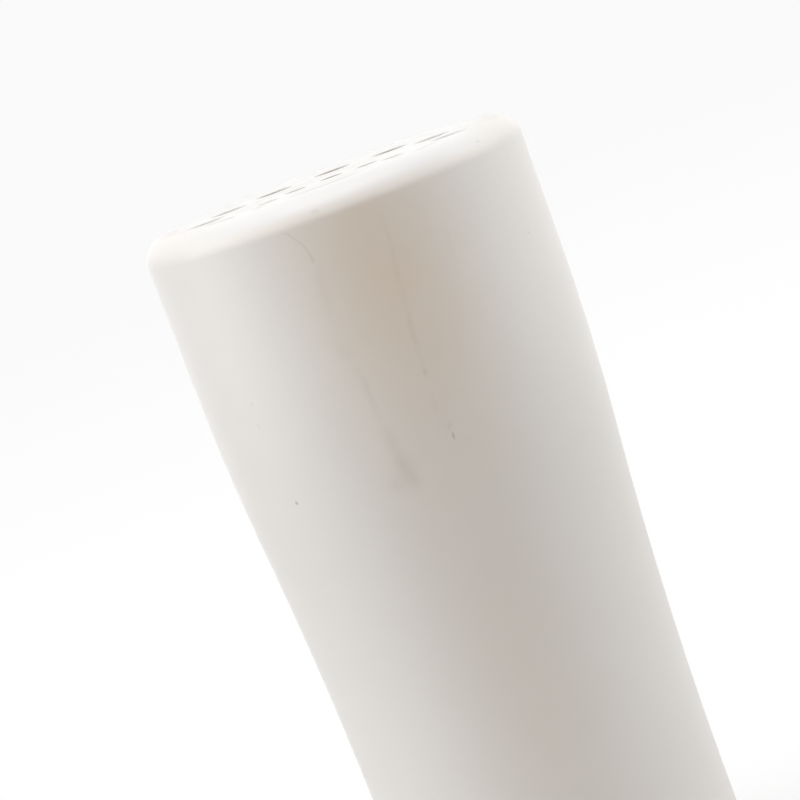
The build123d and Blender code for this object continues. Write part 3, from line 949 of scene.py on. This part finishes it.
STEEL_ROUND = Metal(
    "turned_steel",
    colour=(0.60, 0.59, 0.58),
    tarnish=TARNISH,
    roughness=0.32,
    tarnish_amount=0.45,
    grain=Grain.ROUND,
)
BALL = Metal(
    "ball_steel",
    colour=(0.70, 0.70, 0.70),
    tarnish=(0.50, 0.49, 0.48),
    roughness=0.10,
    tarnish_amount=0.2,
    grain=Grain.ROUND,
)
BRASS = Metal(
    "socket_brass",
    colour=(0.70, 0.50, 0.22),
    tarnish=(0.30, 0.20, 0.10),
    roughness=0.32,
    tarnish_amount=0.6,
    grain=Grain.ROUND,
)
CERAMIC = BurrCeramic(
    "burr_ceramic", colour=(0.76, 0.74, 0.69), stain=(0.20, 0.15, 0.10), roughness=0.5
)
RUBBER = SoftRubber(
    "soft_black", colour=(0.022, 0.022, 0.023), bloom=(0.075, 0.072, 0.070), roughness=0.68
)
SILICONE = SoftRubber(
    "soft_pale", colour=(0.60, 0.58, 0.54), bloom=(0.68, 0.66, 0.63), roughness=0.55
)


def dress(nodes: Iterable[str], finish: Finish) -> None:
    """Gives CAD nodes one finish.

    Args:
        nodes: Names of the nodes.
        finish: What they are made of.
    """
    material = finish.material()
    for name in nodes:
        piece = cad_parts[name]
        piece.data.materials.clear()
        piece.data.materials.append(material)
        LOG.info("%s: %s", name, finish.name)


def add_loop(
    shape: bmesh.types.BMesh, centre: Vector, first: Vector, second: Vector, sides: int
) -> List[bmesh.types.BMVert]:
    """Adds a closed loop of points round a centre.

    Args:
        shape: Mesh that takes the points.
        centre: Middle of the loop in millimetres.
        first: Spoke to its first point.
        second: Spoke to its point a quarter turn on.
        sides: Number of points.

    Returns:
        The points in order.
    """
    turns = (2 * math.pi * side / sides for side in range(sides))
    spokes = (first * math.cos(turn) + second * math.sin(turn) for turn in turns)
    return [shape.verts.new((centre + spoke) * MM) for spoke in spokes]


def add_skin(shape: bmesh.types.BMesh, loops: Sequence[Sequence[bmesh.types.BMVert]]) -> None:
    """Joins loops of points into a closed skin.

    Args:
        shape: Mesh that holds the points.
        loops: Loops of equal count, in order.
    """
    for first, second in zip(loops, loops[1:]):
        for side in range(len(first)):
            after = (side + 1) % len(first)
            shape.faces.new((first[side], first[after], second[after], second[side]))
    shape.faces.new(reversed(loops[0]))
    shape.faces.new(loops[-1])


def close_mesh(shape: bmesh.types.BMesh, name: str) -> bpy.types.Mesh:
    """Turns a finished shape into a mesh with its faces outwards.

    Args:
        shape: The shape, which is freed.
        name: The mesh's name.

    Returns:
        The mesh.
    """
    bmesh.ops.recalc_face_normals(shape, faces=shape.faces)
    mesh = bpy.data.meshes.new(name)
    shape.to_mesh(mesh)
    shape.free()
    return mesh


def new_piece(name: str, mesh: bpy.types.Mesh, material: bpy.types.Material) -> bpy.types.Object:
    """Adds a modelled piece to the scene.

    Args:
        name: The piece's name.
        mesh: Its mesh, in place.
        material: Its finish.

    Returns:
        The new object.
    """
    piece = bpy.data.objects.new(name, mesh)
    bpy.context.scene.collection.objects.link(piece)
    mesh.materials.append(material)
    mesh.shade_smooth()
    LOG.info("%s: modelled, %d faces", name, len(mesh.polygons))
    return piece


@dataclass
class Head:
    """The turning head: shell, salt floor and what they carry, with the slip ring below."""

    radius: float = 25.0
    seam: float = 69.0
    # Both rings darken the inside of their back holes as painted shade.
    outer_holes: HoleRing = HoleRing(circle=16.15, radius=2.5, count=12, edge=0.16, dirt_and_shade=0.58)
    inner_holes: HoleRing = HoleRing(circle=9.8, radius=1.4, count=12, edge=0.24, dirt_and_shade=0.80)

    def streaks(self) -> Tuple[Streak, ...]:
        """Dried runs on the front, most of them from the rim.

        Returns:
            The runs.
        """
        thread = Streak(
            ((163.0, -7.7), (164.4, -8.0), (165.8, -9.1), (167.3, -11.7), (167.9, -14.0)),
            width=0.17,
            strength=0.21,
            gaps=0.4,
        )
        film = Streak(
            ((150.5, -6.8), (151.7, -8.4), (153.6, -9.3), (156.3, -8.0), (163.4, -7.7)),
            width=0.75,
            strength=0.055,
            gaps=0.85,
        )
        left = Streak(
            ((137.0, -4.6), (139.7, -4.7), (143.8, -5.9), (148.5, -6.4), (150.9, -7.3)),
            width=0.46,
            strength=0.085,
            gaps=0.7,
        )
        tail = Streak(
            ((136.2, -4.3), (140.0, -4.9), (143.0, -5.7)), width=0.80, strength=0.085, gaps=0.4
        )
        right = Streak(
            ((145.2, 10.2), (150.4, 10.5), (155.5, 11.7), (161.1, 12.8), (166.8, 14.4)),
            width=0.32,
            strength=0.10,
            gaps=0.65,
        )
        drip = Streak(
            ((138.3, 11.6), (140.9, 9.7), (142.6, 9.7), (144.4, 10.1)),
            width=0.30,
            strength=0.075,
            gaps=0.8,
        )
        faint = Streak(
            ((155.4, 27.0), (160.3, 29.6), (162.8, 29.8)), width=0.40, strength=0.035, gaps=0.6
        )
        return thread, film, left, tail, right, drip, faint

    def spots(self) -> Tuple[Spot, ...]:
        """Specks and smudges on the head.

        Returns:
            The spots.
        """
        return (
            Spot(134.9, -2.6, 0.55, 1.1, 0.045),
            Spot(136.1, -40.4, 0.24, 0.30, 0.50),
            Spot(156.8, 59.2, 0.22, 0.22, 0.20),
            Spot(169.4, 51.7, 0.24, 0.18, 0.20),
            Spot(168.8, -2.7, 0.55, 0.25, 0.10),
            Spot(149.2, -42.3, 0.30, 0.35, 0.08),
            Spot(146.4, -42.7, 0.30, 0.35, 0.08),
            Spot(146.7, 10.2, 0.30, 0.45, 0.14),
            Spot(138.4, 11.6, 0.15, 0.55, 0.38),
            Spot(139.7, 11.5, 0.35, 0.45, 0.08),
        )

    def tints(self) -> Tuple[Tint, ...]:
        """Painted shade on the front, warm and darker, painted light on the upper left, and two
        stains where the runs end.

        Returns:
            The patches.
        """
        return (
            # Painted shade: a warm, darker patch on the front, and a larger, fainter one below it.
            Tint(158.0, 9.0, 8.5, 18.0, 0.95, (0.78, 0.70, 0.605)),
            Tint(112.0, 6.0, 10.0, 36.0, 0.40, (0.79, 0.74, 0.68)),
            # Painted light: a paler patch on the upper left.
            Tint(160.0, -40.0, 8.5, 20.0, 0.60, (0.88, 0.875, 0.865)),
            Tint(136.1, -3.8, 1.2, 1.9, 0.13, DIRT_AND_SHADE),
            Tint(135.1, -8.3, 0.9, 1.0, 0.08, DIRT_AND_SHADE),
        )

    def build(self) -> None:
        """Dresses the head's pieces."""
        shell = SatinShell(
            "head_white",
            self.radius,
            self.seam,
            streaks=self.streaks(),
            spots=self.spots(),
            tints=self.tints(),
            # The crown paints light on the rim and top, and paints shade in the middle of the top.
            crown=Crown(
                low=167.5,
                high=168.5,
                lit_rim_colour=(0.94, 0.92, 0.89),
                lit_top_colour=(0.905, 0.92, 0.93),
                shade_disc_radius=7.5,
                shade_disc_strength=0.06,
                shade_band_middle=(-0.6, -4.6),
                shade_band_reach=5.6,
                shade_band_width=2.2,
                shade_band_strength=0.32,
            ),
            holes=(self.outer_holes, self.inner_holes),
        )
        dress(["head_shell"], shell)
        dress(["salt_floor"], INNER)
        dress(["slip_ring"], BEARING)
        dress(["floor_seal", "salt_plug"], SILICONE)
        dress(["floor_screws"], STEEL_ROUND)
        dress(["drive_socket"], BRASS)


@dataclass
class LowerBody:
    """The lower body: shell, foot, hopper tube and the rings on its neck."""

    radius: float = 25.0
    seam: float = 68.0

    def spots(self) -> Tuple[Spot, ...]:
        """Specks and smudges on the lower body.

        Returns:
            The spots.
        """
        return (
            Spot(41.0, 64.0, 0.25, 0.3, 0.4),
            Spot(22.5, -118.0, 0.3, 0.3, 0.35),
            Spot(55.0, 152.0, 2.4, 1.8, 0.05),
        )

    def build(self) -> None:
        """Dresses the lower body's pieces."""
        dress(["base_shell"], SatinShell("base_white", self.radius, self.seam, spots=self.spots()))
        dress(["hopper_tube"], CLEAR)
        dress(["foot_ring", "grip_ring"], RUBBER)
        dress(["neck_bush"], BUSH)
        dress(["ring_clip"], STEEL_ROUND)


@dataclass
class BurrSpring:
    """Compression spring over the shaft, with closed ends, in millimetres."""

    coil_radius: float = 4.9
    wire_radius: float = 0.45
    turns: int = 4
    closed_turns: float = 0.85
    closed_pitch: float = 1.02
    steps: int = 40
    sides: int = 14

    def centre(self, turn: float, low: float, high: float) -> Vector:
        """Centre of the wire after some turns.

        Args:
            turn: Turns from the lower end.
            low: Height of the lower end's wire centre.
            high: Height of the upper end's wire centre.

        Returns:
            The point in millimetres.
        """
        total = self.turns + 2 * self.closed_turns
        dead = 2 * self.wire_radius * self.closed_pitch
        active = (high - low) - 2 * dead * self.closed_turns
        if turn <= self.closed_turns:
            rise = dead * turn
        elif turn >= total - self.closed_turns:
            rise = (high - low) - dead * (total - turn)
        else:
            share = (turn - self.closed_turns) / self.turns
            rise = dead * self.closed_turns + active * share
        angle = 2 * math.pi * turn
        reach = self.coil_radius
        return Vector((reach * math.cos(angle), reach * math.sin(angle), low + rise))

    def mesh(self, low: float, high: float) -> bpy.types.Mesh:
        """Sweeps the wire.

        Args:
            low: Lowest level of the spring in millimetres.
            high: Highest level of the spring in millimetres.

        Returns:
            The spring's mesh in metres.
        """
        total = self.turns + 2 * self.closed_turns
        count = round(total * self.steps)
        start, end = low + self.wire_radius, high - self.wire_radius
        centres = [self.centre(total * index / count, start, end) for index in range(count + 1)]
        shape = bmesh.new()
        loops = []
        for index, point in enumerate(centres):
            before = centres[max(index - 1, 0)]
            after = centres[min(index + 1, count)]
            along = (after - before).normalized()
            outward = Vector((point.x, point.y, 0.0)).normalized()
            upward = along.cross(outward).normalized()
            spokes = outward * self.wire_radius, upward * self.wire_radius
            loops.append(add_loop(shape, point, *spokes, self.sides))
        add_skin(shape, loops)
        return close_mesh(shape, "burr_spring_coil")

    def build(self) -> None:
        """Models the spring from the washer to the guide, in place of the CAD spring."""
        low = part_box("spring_washer")[1].z
        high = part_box("shaft_guide")[0].z
        mesh = self.mesh(low / MM, high / MM)
        spring = new_piece("burr_spring_coil", mesh, STEEL_ROUND.material())
        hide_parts("burr_spring")
        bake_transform(spring)


@dataclass
class GrindScale:
    """Raised dots on the knob, small for fine and large for coarse, in millimetres."""

    circle: float = 6.6
    smallest: float = 0.32
    growth: float = 0.10
    count: int = 6
    pitch: float = 34.0
    middle: float = -90.0
    relief: float = 0.22
    sides: int = 28
    profile: Tuple[Span, ...] = ((1.0, -0.15), (1.0, 0.35), (0.92, 0.72), (0.72, 0.92), (0.4, 1.0))

    def mesh(self, level: float) -> bpy.types.Mesh:
        """Domes hanging under the knob's face.

        Args:
            level: Height of the knob's lower face in millimetres.

        Returns:
            The dots' mesh in metres.
        """
        shape = bmesh.new()
        for index in range(self.count):
            angle = math.radians(self.middle + (index - (self.count - 1) / 2) * self.pitch)
            centre = Vector((self.circle * math.cos(angle), self.circle * math.sin(angle), level))
            self.dome(shape, centre, self.smallest + self.growth * index)
        return close_mesh(shape, "grind_scale_dots")

    def dome(self, shape: bmesh.types.BMesh, centre: Vector, radius: float) -> None:
        """Adds one closed dome.

        Args:
            shape: Mesh that takes the dome.
            centre: Middle of its seat in millimetres.
            radius: Radius of its seat.
        """
        loops = []
        for share, drop in self.profile:
            middle = centre - Vector((0.0, 0.0, self.relief * drop))
            spokes = Vector((radius * share, 0.0, 0.0)), Vector((0.0, radius * share, 0.0))
            loops.append(add_loop(shape, middle, *spokes, self.sides))
        add_skin(shape, loops)

    def build(self) -> None:
        """Models the dots on the adjuster's face."""
        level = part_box("grind_adjuster")[0].z / MM
        dots = new_piece("grind_scale_dots", self.mesh(level), INNER.material())
        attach(dots, "adjuster")


@dataclass
class GrindingSet:
    """The burrs, what holds them and what drives and adjusts them."""

    spring: BurrSpring
    scale: GrindScale

    def build(self) -> None:
        """Dresses the grinding set and models its spring and scale."""
        dress(["burr_housing", "bridge", "shaft_guide", "grind_adjuster"], DARK)
        dress(["stator_burr", "rotor_burr"], CERAMIC)
        dress(["drive_shaft", "thrust_pin", "adjuster_pins"], STEEL_ALONG)
        dress(["shaft_clip", "spring_washer", "housing_screws", "bridge_screws"], STEEL_ROUND)
        dress(["thrust_ball"], BALL)
        self.spring.build()
        self.scale.build()


@dataclass(frozen=True)
class Softbox:
    """A soft rectangular lamp that faces the mill, in metres and watts."""

    name: str
    azimuth: float
    power: float
    height: float = 0.25
    distance: float = 0.75
    width: float = 0.5
    tall: float = 0.9
    colour: Colour = NEUTRAL

    def build(self, aim: Vector) -> None:
        """Hangs the lamp.

        Args:
            aim: Point that the lamp faces.
        """
        lamp = bpy.data.lights.new(self.name, "AREA")
        lamp.shape = "RECTANGLE"
        lamp.size = self.width
        lamp.size_y = self.tall
        lamp.energy = self.power
        lamp.color = self.colour
        holder = bpy.data.objects.new(self.name, lamp)
        turn = math.radians(self.azimuth)
        way = Vector((math.sin(turn), -math.cos(turn), 0.0))
        spot = way * self.distance + Vector((0.0, 0.0, self.height))
        facing = (aim - spot).to_track_quat("-Z", "Y").to_matrix().to_4x4()
        holder.matrix_world = Matrix.Translation(spot) @ facing
        bpy.context.scene.collection.objects.link(holder)
        LOG.info("%s: %.1f W", self.name, self.power)


@dataclass
class Studio:
    """White floor, white surround and soft lamps, in metres."""

    floor_radius: float = 0.7
    floor_sides: int = 96
    floor_near: float = 0.10
    floor_far: float = 0.24
    floor_colour: Colour = (0.86, 0.86, 0.86)
    surround: Colour = NEUTRAL
    sky: Colour = (0.957, 0.955, 0.957)
    sky_edge: Span = (-0.19, -0.05)
    ambient: Colour = (1.0, 0.93, 0.85)
    ambient_strength: float = 0.08
    aim_height: float = 0.11
    softboxes: Tuple[Softbox, ...] = (
        Softbox("left_softbox", -85.0, 3.15),
        Softbox("left_front_softbox", -60.0, 0.72),
        Softbox("right_softbox", 92.0, 1.97),
        Softbox("right_back_softbox", 116.0, 1.45),
        Softbox("back_left_softbox", -150.0, 0.75),
        Softbox("back_right_softbox", 150.0, 0.75),
        Softbox("top_softbox", 3.0, 4.62, height=0.93, distance=0.25, width=0.6, tall=0.4),
        Softbox("warm_softbox", 3.0, 0.72, height=0.825, distance=0.46, tall=0.4, colour=WARM),
    )

    def build(self) -> None:
        """Sets up the floor, the world, the lamps and the view transform."""
        self.floor()
        self.world()
        for softbox in self.softboxes:
            softbox.build(Vector((0.0, 0.0, self.aim_height)))
        bpy.context.scene.view_settings.view_transform = "Standard"

    @staticmethod
    def seen(graph: Graph) -> Wire:
        """Tells rays that show the surround from rays that gather light.

        Args:
            graph: Node tree that asks.

        Returns:
            1 for a ray from the camera, a mirror or glass, and 0 for any other.
        """
        path = graph.node("ShaderNodeLightPath")
        kinds = ("Camera", "Glossy", "Transmission")
        camera, mirror, glass = (Wire(graph, path.outputs[f"Is {kind} Ray"]) for kind in kinds)
        return graph.math(Op.MAXIMUM, graph.math(Op.MAXIMUM, camera, mirror), glass)

    def floor(self) -> None:
        """Lays the floor: pale by the mill, where its shadow falls, and white further out."""
        shape = bmesh.new()
        bmesh.ops.create_circle(
            shape, cap_ends=True, segments=self.floor_sides, radius=self.floor_radius
        )
        mesh = bpy.data.meshes.new("floor")
        shape.to_mesh(mesh)
        shape.free()
        floor = bpy.data.objects.new("floor", mesh)
        bpy.context.scene.collection.objects.link(floor)
        surface = Surface("floor_white")
        place = surface.place()
        far = place.radius.step(self.floor_near / MM, self.floor_far / MM)
        matt = surface.wire("ShaderNodeBsdfDiffuse", inputs={"Color": self.floor_colour})
        white = surface.wire("ShaderNodeEmission", inputs={"Color": self.surround, "Strength": 1.0})
        share = far * self.seen(surface)
        mixed = surface.wire("ShaderNodeMixShader", inputs={0: share, 1: matt, 2: white})
        surface.node("ShaderNodeOutputMaterial", inputs={"Surface": mixed})
        mesh.materials.append(surface.material)

    def world(self) -> None:
        """Lights the room evenly and shows it white."""
        world = bpy.data.worlds.new("studio")
        bpy.context.scene.world = world
        world.use_nodes = True
        graph = Graph(world.node_tree)
        way = graph.wire("ShaderNodeTexCoord", output="Generated")
        split = graph.node("ShaderNodeSeparateXYZ", inputs={0: way})
        rise = Wire(graph, split.outputs["Z"])
        backdrop = graph.mix(rise.step(*self.sky_edge), self.surround, self.sky)
        shown = graph.wire("ShaderNodeBackground", inputs={"Color": backdrop, "Strength": 1.0})
        ambient = {"Color": self.ambient, "Strength": self.ambient_strength}
        lighting = graph.wire("ShaderNodeBackground", inputs=ambient)
        inputs = {0: self.seen(graph), 1: lighting, 2: shown}
        mixed = graph.wire("ShaderNodeMixShader", inputs=inputs)
        graph.node("ShaderNodeOutputWorld", inputs={"Surface": mixed})


@dataclass
class PhotoCamera:
    """The photograph's camera: millimetres, degrees and pixels of its frame; its clip in metres."""

    azimuth: float = 3.4
    distance: float = 300.0
    height: float = 185.77
    aim_height: float = 140.92
    aim_shift: float = -1.02
    roll: float = 20.2
    focal_pixels: float = 2372.5
    frame_pixels: float = 800.0
    sensor: float = 36.0
    clip: Span = (0.01, 20.0)

    def build(self) -> None:
        """Sets up the camera, rolled so that the mill leans to the left."""
        turn = math.radians(self.azimuth)
        spot = Vector((math.sin(turn), -math.cos(turn), 0.0)) * self.distance
        spot.z = self.height
        aim = Vector((math.cos(turn), math.sin(turn), 0.0)) * self.aim_shift
        aim.z = self.aim_height
        forward = (aim - spot).normalized()
        right = forward.cross(Vector((0, 0, 1))).normalized()
        up = right.cross(forward)
        roll = math.radians(self.roll)
        across = right * math.cos(roll) - up * math.sin(roll)
        above = right * math.sin(roll) + up * math.cos(roll)
        axes = Matrix((across, above, -forward)).transposed().to_4x4()
        lens = bpy.data.cameras.new("camera")
        lens.sensor_width = self.sensor
        lens.lens = self.sensor * self.focal_pixels / self.frame_pixels
        lens.clip_start, lens.clip_end = self.clip
        camera = bpy.data.objects.new("camera", lens)
        camera.matrix_world = Matrix.Translation(spot * MM) @ axes
        bpy.context.scene.collection.objects.link(camera)
        bpy.context.scene.camera = camera


def main() -> None:
    """Builds the mill's sub-assemblies in order, then the studio and the camera."""
    logging.basicConfig(level=logging.INFO, format="%(message)s")
    Head().build()
    LowerBody().build()
    GrindingSet(BurrSpring(), GrindScale()).build()
    Studio().build()
    PhotoCamera().build()


if __name__ == "__main__":
    main()
